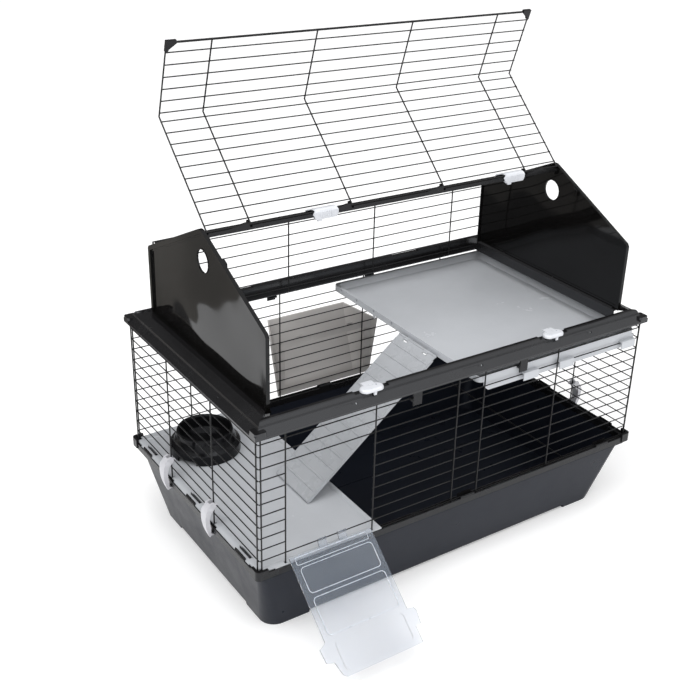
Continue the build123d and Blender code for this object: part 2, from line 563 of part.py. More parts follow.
with BuildPart() as rear_upper:
    grille_strip(rear_k, rear_d2, rear_n2, ROOF_UPRIGHTS, REAR_WALL_LEN, -4.0, 16.5, 6, 0, None)
    # the lowest row stops short of the side beams
    rods(YZ(-425), [(rear_k[0] - 2.4, rear_k[1] - 16.5 - 6 * PITCH)], WIRE_H, 850)
    kink_cut(rear_k, rear_d1, rear_d2, False)
save(rear_upper, "rear_upper_grille")

with BuildPart() as rear_bar:
    rods(YZ(-ROOF_HX - 1.5), [(RX_Y, RX_Z)], 2 * HINGE_BAR_R, 2 * ROOF_HX + 3)
save(rear_bar, "rear_roof_bar")

# ---------------------------------------------------------------------------
# sliding locks: two on the ridge, two on the front of the middle frame
# ---------------------------------------------------------------------------
def ridge_lock(xc):
    """Sliding clamp over the hinge bar and the ridge beam."""
    with BuildPart() as lock:
        prism_x([(-16.6, 734.4), (-16.6, 749.4), (-15.0, 752.6), (-12.0, 754.5), (-8.0, 755.0), (-1.0, 753.6),
                 (9.0, 749.6), (14.4, 747.0), (16.2, 744.6), (16.2, 737.0), (14.0, 735.8), (9.6, 735.8), (9.6, 737.8),
                 (13.4, 738.2), (13.4, 744.6), (12.6, 745.8), (8.4, 747.3), (-1.6, 751.2), (-6.0, 752.0), (-12.8, 752.0),
                 (-13.2, 750.4), (-13.2, 737.8), (-9.0, 737.8), (-9.0, 735.4), (-12.5, 733.4)], xc - 30, xc + 30)
        # thumb ribs on the front face
        for i in range(6):
            xr = xc - 12.5 + 5 * i
            prism_x([(-17.5, 738.0), (-17.5, 749.0), (-15.4, 753.2), (-14.0, 751.0), (-16.0, 738.0)], xr - 0.9, xr + 0.9)
        # rounded-off ends: long slope on the left, short on the right
        prism_y([(xc - 31, 730), (xc - 31, 760), (xc - 20, 760), (xc - 25, 752), (xc - 29, 745), (xc - 20, 730)], -22, 20,
                mode=Mode.SUBTRACT)
        prism_y([(xc + 31, 730), (xc + 31, 760), (xc + 23, 760), (xc + 28, 748), (xc + 28, 742), (xc + 22, 730)], -22, 20,
                mode=Mode.SUBTRACT)
        # finger tab below the front skirt
        block(xc - 19, xc - 9, -16.2, -13.4, 730.6, 737.0)
    return lock


for side, xc in (("left", -178.0), ("right", 303.0)):
    lk = ridge_lock(xc)
    save(lk, "ridge_lock_" + side)

for side, xc in (("left", LID_LATCH_XS[0]), ("right", LID_LATCH_XS[1])):
    z0 = LATCH_SEAT_Z + 0.4
    with BuildPart() as flatch:
        with BuildSketch(Plane.XY.offset(z0)) as sk:
            with Locations((xc, -264.5)):
                SlotOverall(50, 24)
        extrude(sk.sketch, amount=6.6)
        top = flatch.faces().sort_by(Axis.Z)[-1]
        fillet(top.edges(), 4.6)
        # nose that drops over the front step of the beam
        prism_x([(-267.4, z0 + 0.1), (-269.3, 487.0), (-271.0, 485.4), (-276.3, 488.4), (-276.3, z0 + 2), (-268, z0 + 2)],
                xc - 16, xc + 16)
        # small tab below the nose
        prism_x([(-271.4, 485.0), (-273.6, 481.0), (-275.6, 481.0), (-276.2, 488.0), (-272, 488.0)], xc - 1, xc + 5)
        # hook over the lid's end bar
        prism_x([(-256, z0), (-249.0, z0), (-243.4, z0 + 3.6), (-242.8, z0 + 6.0), (-246, z0 + 6.6), (-256, z0 + 6.6)],
                xc - 12, xc + 12)
        # grip hole
        with Locations((xc + 11, -262.5, z0 + 6.6)):
            Cylinder(2.6, 4.0, mode=Mode.SUBTRACT)
    save(flatch, "lid_latch_" + side)

# ---------------------------------------------------------------------------
# upper shelf: shallow tray with aprons that hook over the wall rows
# ---------------------------------------------------------------------------
SH_CX, SH_HX = (SHELF_X0 + SHELF_X1) / 2, (SHELF_X1 - SHELF_X0) / 2
with BuildPart() as shelf:
    with BuildSketch(Plane.XY.offset(SHELF_FLOOR - 2.5)) as sk:
        with Locations((SH_CX, 0)):
            RectangleRounded(2 * SH_HX, 2 * SHELF_HY, 12)
    extrude(sk.sketch, amount=SHELF_TOP - SHELF_FLOOR + 2.5)
    with BuildSketch(Plane.XY.offset(SHELF_FLOOR)) as low:
        with Locations((SH_CX, 0)):
            RectangleRounded(2 * SH_HX - 34, 2 * SHELF_HY - 34, 10)
    with BuildSketch(Plane.XY.offset(SHELF_TOP)) as high:
        with Locations((SH_CX, 0)):
            RectangleRounded(2 * SH_HX - 14, 2 * SHELF_HY - 14, 10)
    loft([low.sketch, high.sketch], mode=Mode.SUBTRACT)
    # hollow rim, open below
    with BuildSketch(Plane.XY.offset(SHELF_FLOOR - 3)) as low:
        with Locations((SH_CX, 0)):
            RectangleRounded(2 * SH_HX - 5, 2 * SHELF_HY - 5, 10)
            RectangleRounded(2 * SH_HX - 29, 2 * SHELF_HY - 29, 12, mode=Mode.SUBTRACT)
    extrude(low.sketch, amount=3.4, mode=Mode.SUBTRACT)
    # aprons
    for s in (-1, 1):
        y0, y1 = sorted((s * (SHELF_HY - 2.5), s * SHELF_HY))
        pl = Plane(origin=(0, y0, 0), x_dir=(1, 0, 0), z_dir=(0, -1, 0))
        with BuildSketch(pl) as sk:
            with BuildLine():
                Polyline((40, 436), (40, 420), (52, 410.5), (462, 410.5), (464, 412), (464, 436), close=True)
            make_face()
        extrude(sk.sketch, amount=-2.5)
        for xc in (157.0, 256.0, 439.0):
            prism_x([(s * 268.5, 427.0), (s * 281.2, 427.0), (s * 281.2, 412.0), (s * 279.2, 411.0), (s * 279.2, 415.0),
                     (s * 279.2, 426.8), (s * 279.2, 429.4)][:4] +
                    [(s * 279.2, 426.6), (s * 268.5, 426.6)], xc - 20, xc + 20)
            prism_x([(s * 268.5, 426.5), (s * 268.5, 429.5), (s * 280.2, 429.5), (s * 281.2, 428.5), (s * 281.2, 426.5)],
                    xc - 20, xc + 20)
    # holes in the left rim for hanging the ramp at other places
    with BuildSketch(YZ(SHELF_X0 - 1)) as sk:
        with Locations(*[(y, 440.5) for y in (-215.0, 33.0, 103.0, 173.0, 235.0)]):
            Circle(3.4)
    extrude(sk.sketch, amount=5, mode=Mode.SUBTRACT)
    # two open cradles that carry the ramp's top barrel
    for yc in (-37.0, -107.0):
        pl = Plane(origin=(0, yc - 5, 0), x_dir=(1, 0, 0), z_dir=(0, -1, 0))
        with BuildSketch(pl) as sk:
            with Locations((RAMP_AX, RAMP_AZ)):
                Circle(6.2)
            with BuildLine():
                Polyline((RAMP_AX + 2, RAMP_AZ + 1), (SHELF_X0 + 1, RAMP_AZ + 1), (SHELF_X0 + 1, RAMP_AZ - 2.4),
                         (RAMP_AX + 2, RAMP_AZ - 6.0), close=True)
            make_face()
            with Locations((RAMP_AX, RAMP_AZ)):
                Circle(3.08, mode=Mode.SUBTRACT)
            with Locations((RAMP_AX - 2.0, RAMP_AZ + 6.0)):
                Rectangle(12, 10, mode=Mode.SUBTRACT)
        extrude(sk.sketch, amount=-10)
    # small hook under the rim
    prism_x([(100, 432), (100, 424), (103, 424), (103, 427), (106, 427), (106, 432)], SHELF_X0 + 0.5, SHELF_X0 + 3)
save(shelf, "upper_shelf")

# ---------------------------------------------------------------------------
# ramp between the storeys: ribbed board with a barrel along its top edge
# ---------------------------------------------------------------------------
RD = (-math.cos(RAMP_ANGLE), -math.sin(RAMP_ANGLE))
RN = (-math.sin(RAMP_ANGLE), math.cos(RAMP_ANGLE))     # upper side


def ramp_pts(*uv):
    return [(RAMP_AX + RD[0] * u + RN[0] * v, RAMP_AZ + RD[1] * u + RN[1] * v) for u, v in uv]


with BuildPart() as ramp:
    prism_y(ramp_pts((2.0, -1.2), (2.0, 1.6), (RAMP_LEN - 2, 1.6), (RAMP_LEN, 0.4), (RAMP_LEN, -1.2)), RAMP_Y0, RAMP_Y1)
    # side rails below and above
    for y0 in (RAMP_Y0, RAMP_Y1 - 3.0):
        prism_y(ramp_pts((10.0, -4.0), (10.0, 2.6), (RAMP_LEN - 6, 2.6), (RAMP_LEN, 0.8), (RAMP_LEN, -1.0),
                         (RAMP_LEN - 5.0, -4.0)), y0, y0 + 3.0)
    # tread ribs
    for i in range(13):
        u = 22.0 + 29.0 * i
        prism_y(ramp_pts((u, 1.4), (u + 0.8, 3.1), (u + 3.0, 3.1), (u + 4.4, 1.4)), RAMP_Y0 + 2, RAMP_Y1 - 2)
    # top barrel
    rods(Plane(origin=(0, RAMP_Y0, 0), x_dir=(1, 0, 0), z_dir=(0, 1, 0)), [(RAMP_AX, -RAMP_AZ)], 6.0,
         RAMP_Y1 - RAMP_Y0)
    # notches round the cradles; the barrel stays
    for yc in (-37.0, -107.0):
        with BuildSketch(Plane(origin=(0, yc - 6.5, 0), x_dir=(1, 0, 0), z_dir=(0, 1, 0))) as sk:
            with Locations((RAMP_AX, -RAMP_AZ)):
                Circle(9.4)
                Circle(3.0, mode=Mode.SUBTRACT)
        extrude(sk.sketch, amount=13.0, mode=Mode.SUBTRACT)
save(ramp, "ramp")

# ---------------------------------------------------------------------------
# lower platform: plate with a bead, its lip lies on the tray rim on three sides
# ---------------------------------------------------------------------------
with BuildPart() as platform:
    # floor plate inside the wire walls
    prism_z([(-469.6, -264.6), (-465.6, -268.6), (PLAT_X1, -268.6), (PLAT_X1, 268.6), (-465.6, 268.6),
             (-469.6, 264.6)], PLAT_TOP - 3.0, PLAT_TOP)
    # lip over the rim
    ZF0, ZF1 = RIM_TOP, RIM_TOP + 2.6
    block(-482.2, PLAT_X1, -281.4, -266.6, ZF0, ZF1)
    block(-482.2, PLAT_X1, 266.6, 281.4, ZF0, ZF1)
    block(-482.2, -467.6, -281.4, 281.4, ZF0, ZF1)
    # right edge: raised bead and down-turned skirt
    prism_y([(PLAT_X1, PLAT_TOP - 12), (PLAT_X1, PLAT_TOP + 1.5), (PLAT_X1 - 2, PLAT_TOP + 3.4),
             (PLAT_X1 - 8, PLAT_TOP + 3.4), (PLAT_X1 - 11, PLAT_TOP), (PLAT_X1 - 11, PLAT_TOP - 3),
             (PLAT_X1 - 2.5, PLAT_TOP - 3), (PLAT_X1 - 2.5, PLAT_TOP - 12)], -268.6, 268.6)
    # bead along the front, rear and left of the floor plate
    for s in (-1, 1):
        prism_x([(s * 268.6, PLAT_TOP - 1), (s * 268.6, PLAT_TOP + 2.0), (s * 263.0, PLAT_TOP + 2.0),
                 (s * 260.0, PLAT_TOP - 1)], -465.4, PLAT_X1 - 4)
    # slots for the wires of the walls that stand in the rim groove
    for x in (-472.0, -421.5, -226.5):
        block(x - 2.2, x + 2.2, -279.4, -272.0, 160, 190, mode=Mode.SUBTRACT)
    for x in (-472.0, -345.0):
        block(x - 2.2, x + 2.2, 272.0, 279.4, 160, 190, mode=Mode.SUBTRACT)
    for y in (-271.0, -96.0, 96.0, 271.0):
        block(-480.4, -473.0, y - 2.2, y + 2.2, 160, 190, mode=Mode.SUBTRACT)
    # gaps for the side latches, the rim hooks and the corner brackets
    for yc in (-96.0, 96.0):
        block(-490, -478.9, yc - 16, yc + 16, 160, 190, mode=Mode.SUBTRACT)
    for yc in (-211.0, 0.0, 211.0):
        block(-490, -479.9, yc - 20.5, yc + 20.5, 160, 190, mode=Mode.SUBTRACT)
        block(-473.0, -466.0, yc - 20.5, yc + 20.5, PLAT_TOP - 4, 190, mode=Mode.SUBTRACT)
    for s in (-1, 1):
        y0, y1 = sorted((s * 244.0, s * 300.0))
        block(-500, -479.8, y0, y1, 160, 190, mode=Mode.SUBTRACT)
        y0, y1 = sorted((s * 278.9, s * 300.0))
        block(-500, -446.0, y0, y1, 160, 190, mode=Mode.SUBTRACT)
        y0, y1 = sorted((s * 268.7, s * 300.0))
        block(-500, -468.8, y0, y1, 160, 190, mode=Mode.SUBTRACT)
save(platform, "lower_platform")

# ---------------------------------------------------------------------------
# front door: clear drop-down panel that hangs from the hinge row
# ---------------------------------------------------------------------------
HY, HZ = -YH, HINGE_WIRE_Z
DD = (-math.sin(DOOR_DROP), math.cos(DOOR_DROP))       # along the panel, away from the hinge
DN = (-math.cos(DOOR_DROP), -math.sin(DOOR_DROP))      # outer side of the closed door


def door_pts(*un):
    return [(HY + DD[0] * u + DN[0] * n, HZ + DD[1] * u + DN[1] * n) for u, n in un]


door_pl = Plane(origin=(0, HY + DN[0] * DOOR_N0, HZ + DN[1] * DOOR_N0), x_dir=(1, 0, 0),
                z_dir=(0, -DN[0], -DN[1]))
# on this plane local y runs along the panel, away from the hinge, or back: find the sign
_s = 1 if (door_pl.y_dir.Y * DD[0] + door_pl.y_dir.Z * DD[1]) > 0 else -1
with BuildPart() as door:
    with BuildSketch(door_pl) as sk:
        with BuildLine():
            Polyline(*[(x, _s * u) for x, u in (
                (DOOR_W0, 13), (DOOR_W1, 13), (DOOR_W1, 182), (-220, 184), (-216, 190), (-219, 217), (-231, 219),
                (-231, DOOR_LEN), (-400, DOOR_LEN), (-408, DOOR_LEN - 6), (-414.5, 219), (-430, 215), (-432, 188),
                (DOOR_W0, 180))], close=True)
        make_face()
    extrude(sk.sketch, amount=-(DOOR_N1 - DOOR_N0))
    # raised beads on the upper side: narrow strip, two large rounded rectangles
    def bead(x0, x1, u0, u1, r, w=1.8, h=1.1):
        with BuildSketch(door_pl) as bk:
            with Locations(((x0 + x1) / 2, _s * (u0 + u1) / 2)):
                RectangleRounded(x1 - x0, u1 - u0, r)
                RectangleRounded(x1 - x0 - 2 * w, u1 - u0 - 2 * w, max(r - w, 0.5), mode=Mode.SUBTRACT)
        extrude(bk.sketch, amount=h)
    bead(-408, -246, 15.5, 32.0, 4)
    bead(-406, -244, 36.5, 89.0, 9)
    bead(-406, -244, 96.5, 172.0, 9)
    bead(-400, -246, 184.0, 240.0, 9)
    # two hinge clips round the hinge row
    for xc in (-341.0, -296.0):
        with BuildSketch(YZ(xc - 9)) as sk:
            with Locations((HY, HZ)):
                Circle(3.1)
            with BuildLine():
                Polyline(*door_pts((0, 0.8), (0, 3.05), (9, DOOR_N1), (17, DOOR_N1), (17, DOOR_N0), (10, DOOR_N0),
                                   (2.6, 1.4)), close=True)
            make_face()
            with Locations((HY, HZ)):
                Circle(WIRE_H / 2 + 0.08, mode=Mode.SUBTRACT)
        extrude(sk.sketch, amount=18)
save(door, "front_door")

# ---------------------------------------------------------------------------
# four side latches: tusk-shaped levers that clip a side wall to the tray rim
# ---------------------------------------------------------------------------
LATCH_Z = 225.0
for name, s, yc in (("left_rear", -1, 96.0), ("left_front", -1, -96.0), ("right_rear", 1, 96.0),
                    ("right_front", 1, -96.0)):
    with BuildPart() as tusk:
        # two arms that straddle an upright and loop the row
        for ya in (yc - 9.0, yc + 5.0):
            pl = Plane(origin=(0, ya, 0), x_dir=(1, 0, 0), z_dir=(0, -1, 0))
            with BuildSketch(pl) as sk:
                with Locations((s * XH, LATCH_Z)):
                    Circle(3.2)
                with BuildLine():
                    Polyline((s * (XH - 0.5), LATCH_Z + 3.15), (s * 482, 232.5), (s * 490, 231.0), (s * 495, 222),
                             (s * 494, 210), (s * 486, 211), (s * 481, 217), (s * (XH + 1.0), LATCH_Z - 3.0), close=True)
                make_face()
                with Locations((s * XH, LATCH_Z)):
                    Circle(WIRE_H / 2 + 0.08, mode=Mode.SUBTRACT)
            extrude(sk.sketch, amount=-4.0)
        # curved tusk, broad at the top and pointed below
        pl = Plane(origin=(0, yc - 11.0, 0), x_dir=(1, 0, 0), z_dir=(0, -1, 0))
        with BuildSketch(pl) as sk:
            with BuildLine():
                Spline((s * 487.5, 229.0), (s * 497.0, 219.0), (s * 501.0, 200.0), (s * 498.5, 176.0), (s * 490.0, 152.0))
                Line((s * 490.0, 152.0), (s * 487.6, 152.0))
                Line((s * 487.6, 152.0), (s * 487.6, 154.6))
                Line((s * 487.6, 154.6), (s * 480.4, 155.4))
                Line((s * 480.4, 155.4), (s * 480.4, 156.2))
                Line((s * 480.4, 156.2), (s * 487.8, 161.0))
                Line((s * 487.8, 161.0), (s * 488.6, 176.0))
                Spline((s * 488.6, 176.0), (s * 491.5, 196.0), (s * 487.0, 214.0), (s * 484.0, 218.0))
                Line((s * 484.0, 218.0), (s * 487.5, 229.0))
            make_face()
        extrude(sk.sketch, amount=-22.0)
        x0, x1 = sorted((s * 476.0, s * 506.0))
        for sy in (-1, 1):
            prism_x([(yc + sy * 13.0, 209.0), (yc + sy * 11.1, 208.0), (yc + sy * 8.2, 178.0), (yc + sy * 3.6, 151.0),
                     (yc + sy * 13.0, 150.0)], x0, x1, mode=Mode.SUBTRACT)
            # rounded shoulders
            prism_x([(yc + sy * 13.0, 216.0), (yc + sy * 11.1, 217.0), (yc + sy * 9.1, 223.5), (yc + sy * 9.1, 232.0),
                     (yc + sy * 13.0, 232.0)], x0, x1, mode=Mode.SUBTRACT)
    save(tusk, "side_latch_" + name)

# ---------------------------------------------------------------------------
# feeding bowl
# ---------------------------------------------------------------------------
BZ0 = PLAT_TOP + 0.3
with BuildPart() as bowl:
    with BuildSketch(Plane.XZ) as sk:
        with BuildLine():
            Polyline((0, 6), (52, 6), (66, 14), (72.5, 20), (73.6, 0), (76.6, 0), (77.0, 3), (76.4, 20.5), (75.0, 22.5),
                     (67.8, 27.5), (62.6, 40.0), (60.6, 49.0), (59.6, 51.2), (57.6, 52.0), (56.0, 51.0), (54.6, 48.0),
                     (51.0, 24.0), (44, 11.5), (30, 9.0), (0, 8.6), close=True)
        make_face()
    revolve(sk.sketch, axis=Axis.Z)
    # notch in the foot
    with Locations(Rot(0, 0, 212) * Pos(80, 0, 4)):
        Box(22, 44, 12, mode=Mode.SUBTRACT)
bowl.part.locate(Pos(BOWL_X, BOWL_Y, BZ0))
bowl_at = bowl.part
bowl_at.label = "food_bowl"
export_step(bowl_at, "parts/food_bowl.step")

# ---------------------------------------------------------------------------
# hay rack on the outside of the rear wall: wedge-shaped bin, open to the wires
# ---------------------------------------------------------------------------
RY0 = WALL_Y + OFF_V + WIRE_V / 2 + 0.5
with BuildPart() as rack:
    def rack_sections(t):
        low = [(RACK_X - 131 + t, RY0), (RACK_X + 131 - t, RY0), (RACK_X + 100 - t, RY0 + 26 - t),
               (RACK_X - 100 + t, RY0 + 26 - t)]
        high = [(RACK_X - 154 + t, RY0), (RACK_X + 154 - t, RY0), (RACK_X + 108 - t, RY0 + 92 - t),
                (RACK_X - 108 + t, RY0 + 92 - t)]
        return low, high
    low, high = rack_sections(0)
    with BuildSketch(Plane.XY.offset(181)) as s1:
        with BuildLine():
            Polyline(*low, close=True)
        make_face()
    with BuildSketch(Plane.XY.offset(345)) as s2:
        with BuildLine():
            Polyline(*high, close=True)
        make_face()
    loft([s1.sketch, s2.sketch], ruled=True)
    low, high = rack_sections(2.6)
    low = [(x, y - (3 if abs(y - RY0) < 0.01 else 0)) for x, y in low]
    high = [(x, y - (3 if abs(y - RY0) < 0.01 else 0)) for x, y in high]
    with BuildSketch(Plane.XY.offset(183.6)) as s3:
        with BuildLine():
            Polyline(*low, close=True)
        make_face()
    with BuildSketch(Plane.XY.offset(345.01)) as s4:
        with BuildLine():
            Polyline(*high, close=True)
        make_face()
    loft([s3.sketch, s4.sketch], ruled=True, mode=Mode.SUBTRACT)
    # the top falls towards the wall
    prism_x([(RY0 - 5, 320), (RY0 + 93, 341), (RY0 + 93, 350), (RY0 - 5, 350)], RACK_X - 170, RACK_X + 170,
            mode=Mode.SUBTRACT)
    # mounting flange along the wall and hooks over a row
    for sx in (-1, 1):
        x0, x1 = sorted((RACK_X + sx * 150, RACK_X + sx * 118))
        prism_z([(RACK_X + sx * 131, RY0), (RACK_X + sx * 112, RY0), (RACK_X + sx * 112, RY0 + 2.4),
                 (RACK_X + sx * 129, RY0 + 2.4)], 181, 320.0)
    block(RACK_X - 114, RACK_X + 114, RY0, RY0 + 2.4, 181, 196)
    block(RACK_X - 131, RACK_X + 131, RY0, RY0 + 2.4, 306, 321.0)
    for xc in (RACK_X - 70, RACK_X + 70):
        prism_x([(RY0, 321.0), (RY0, 328.6), (271.6, 328.6), (271.6, 322.0), (273.0, 322.0), (273.0, 326.3),
                 (RY0 + 0.1, 326.3), (RY0 + 2.4, 320.9), (RY0 + 2.4, 320.0), (RY0, 320.0)][:2] +
                [(271.4, 328.6), (271.4, 321.5), (273.0, 321.5), (273.0, 326.4), (RY0 + 0.6, 326.4),
                 (RY0 + 0.6, 320.5), (RY0, 320.5)], xc - 8, xc + 8)
        block(xc - 8, xc + 8, RY0, RY0 + 2.4, 318, 328.6)
save(rack, "hay_rack")
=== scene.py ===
import json
import math

import bpy
from mathutils import Matrix, Vector


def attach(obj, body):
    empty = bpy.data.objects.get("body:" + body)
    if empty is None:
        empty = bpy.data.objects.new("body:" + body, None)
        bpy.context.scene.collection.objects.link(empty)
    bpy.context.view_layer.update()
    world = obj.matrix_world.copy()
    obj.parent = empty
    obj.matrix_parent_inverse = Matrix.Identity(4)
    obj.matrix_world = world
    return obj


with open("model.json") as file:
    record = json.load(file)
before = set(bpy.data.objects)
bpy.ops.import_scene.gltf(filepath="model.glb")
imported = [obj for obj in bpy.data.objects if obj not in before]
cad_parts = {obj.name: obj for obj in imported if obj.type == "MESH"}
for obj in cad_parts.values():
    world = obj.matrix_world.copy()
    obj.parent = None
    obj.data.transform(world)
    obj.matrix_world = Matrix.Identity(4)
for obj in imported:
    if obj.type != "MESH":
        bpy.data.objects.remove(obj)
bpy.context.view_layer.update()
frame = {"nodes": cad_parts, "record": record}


# ---------------------------------------------------------------------------
# materials: all procedural, in object space (metres)
# ---------------------------------------------------------------------------
def new_mat(name):
    m = bpy.data.materials.new(name)
    m.use_nodes = True
    nt = m.node_tree
    nt.nodes.clear()
    out = nt.nodes.new("ShaderNodeOutputMaterial")
    bsdf = nt.nodes.new("ShaderNodeBsdfPrincipled")
    nt.links.new(bsdf.outputs["BSDF"], out.inputs["Surface"])
    return m, nt, bsdf


def coords(nt, scale=(1, 1, 1)):
    tc = nt.nodes.new("ShaderNodeTexCoord")
    mp = nt.nodes.new("ShaderNodeMapping")
    mp.inputs["Scale"].default_value = scale
    nt.links.new(tc.outputs["Object"], mp.inputs["Vector"])
    return mp.outputs["Vector"]


def noise(nt, vec, scale, detail=4.0, rough=0.55, distort=0.0):
    n = nt.nodes.new("ShaderNodeTexNoise")
    n.inputs["Scale"].default_value = scale
    n.inputs["Detail"].default_value = detail
    n.inputs["Roughness"].default_value = rough
    n.inputs["Distortion"].default_value = distort
    nt.links.new(vec, n.inputs["Vector"])
    return n.outputs["Fac"]


def ramp(nt, fac, stops, mode="LINEAR"):
    r = nt.nodes.new("ShaderNodeValToRGB")
    r.color_ramp.interpolation = mode
    el = r.color_ramp.elements
    while len(el) < len(stops):
        el.new(0.5)
    for e, (pos, col) in zip(el, stops):
        e.position = pos
        e.color = (*col, 1.0) if len(col) == 3 else col
    nt.links.new(fac, r.inputs["Fac"])
    return r.outputs["Color"]


def remap(nt, fac, a, b, lo, hi):
    r = nt.nodes.new("ShaderNodeMapRange")
    r.inputs["From Min"].default_value = a
    r.inputs["From Max"].default_value = b
    r.inputs["To Min"].default_value = lo
    r.inputs["To Max"].default_value = hi
    nt.links.new(fac, r.inputs["Value"])
    return r.outputs["Result"]


def mix(nt, fac, a, b, blend="MIX"):
    m = nt.nodes.new("ShaderNodeMix")
    m.data_type = "RGBA"
    m.blend_type = blend
    if isinstance(fac, float):
        m.inputs["Factor"].default_value = fac
    else:
        nt.links.new(fac, m.inputs["Factor"])
    for sock, v in ((m.inputs["A"], a), (m.inputs["B"], b)):
        if isinstance(v, tuple):
            sock.default_value = (*v, 1.0)
        else:
            nt.links.new(v, sock)
    return m.outputs["Result"]


def math_(nt, op, a, b):
    m = nt.nodes.new("ShaderNodeMath")
    m.operation = op
    for sock, v in zip(m.inputs, (a, b)):
        if isinstance(v, (int, float)):
            sock.default_value = v
        else:
            nt.links.new(v, sock)
    return m.outputs["Value"]


def bump(nt, height, distance, strength=1.0, normal=None):
    b = nt.nodes.new("ShaderNodeBump")
    b.inputs["Distance"].default_value = distance
    b.inputs["Strength"].default_value = strength
    nt.links.new(height, b.inputs["Height"])
    if normal is not None:
        nt.links.new(normal, b.inputs["Normal"])
    return b.outputs["Normal"]


def coated_wire():
    """Black powder-coated steel wire: slight orange peel, lighter dusty flecks."""
    m, nt, b = new_mat("coated_wire")
    v = coords(nt)
    big = noise(nt, v, 18.0, 3.0)
    fine = noise(nt, v, 900.0, 3.0)
    col = ramp(nt, big, [(0.3, (0.0035, 0.0035, 0.004)), (0.75, (0.007, 0.007, 0.008))])
    nt.links.new(col, b.inputs["Base Color"])
    nt.links.new(remap(nt, fine, 0.3, 0.7, 0.30, 0.46), b.inputs["Roughness"])
    nt.links.new(bump(nt, fine, 0.00008, 0.6), b.inputs["Normal"])
    b.inputs["Specular IOR Level"].default_value = 0.30
    return m


def moulded(name, lo, hi, r_lo, r_hi, grain=1400.0, depth=0.00006, wave=0.0, scuff=0.0, scuff_col=(0.2, 0.2, 0.2),
            spec=0.5, big=5.0, coat=0.0, tint=(0.92, 0.95, 1.0)):
    """Injection-moulded plastic: fine grain, slow tone drift, faint scuffs, optional slow waviness."""
    m, nt, b = new_mat(name)
    v = coords(nt)
    drift = noise(nt, v, big, 5.0, 0.6)
    fine = noise(nt, v, grain, 2.0)
    col = ramp(nt, drift, [(0.28, lo), (0.72, hi)])
    if scuff > 0:
        vs = coords(nt, (3.0, 14.0, 1.4))
        s1 = noise(nt, vs, 26.0, 8.0, 0.72, 0.4)
        mask = remap(nt, s1, 0.60, 0.74, 0.0, scuff)
        col = mix(nt, mask, col, scuff_col)
    nt.links.new(col, b.inputs["Base Color"])
    patch = noise(nt, v, big * 3.3, 6.0, 0.65, 0.3)
    nt.links.new(remap(nt, patch, 0.3, 0.7, r_lo, r_hi), b.inputs["Roughness"])
    n = bump(nt, fine, depth, 0.7)
    if wave > 0:
        w = noise(nt, v, 3.1, 1.0, 0.4, 0.0)
        n = bump(nt, w, wave, 1.0, n)
    nt.links.new(n, b.inputs["Normal"])
    b.inputs["Specular IOR Level"].default_value = spec
    b.inputs["Specular Tint"].default_value = (*tint, 1.0)
    if coat:
        b.inputs["Coat Weight"].default_value = coat
        b.inputs["Coat Roughness"].default_value = 0.06
    return m


def clear_door():
    """Clear, faintly blue styrene: see-through, a little haze, hairline scratches."""
    m, nt, b = new_mat("door_clear")
    v = coords(nt)
    haze = noise(nt, v, 7.0, 5.0, 0.6)
    col = ramp(nt, haze, [(0.3, (0.81, 0.83, 0.87)), (0.7, (0.85, 0.865, 0.895))])
    nt.links.new(col, b.inputs["Base Color"])
    vs = coords(nt, (60.0, 5.0, 5.0))
    scr = noise(nt, vs, 9.0, 6.0, 0.7)
    nt.links.new(remap(nt, scr, 0.3, 0.75, 0.03, 0.10), b.inputs["Roughness"])
    b.inputs["Specular Tint"].default_value = (0.55, 0.74, 1.0, 1.0)
    nt.links.new(remap(nt, haze, 0.3, 0.7, 0.96, 0.93), b.inputs["Transmission Weight"])
    b.inputs["IOR"].default_value = 1.45
    return m


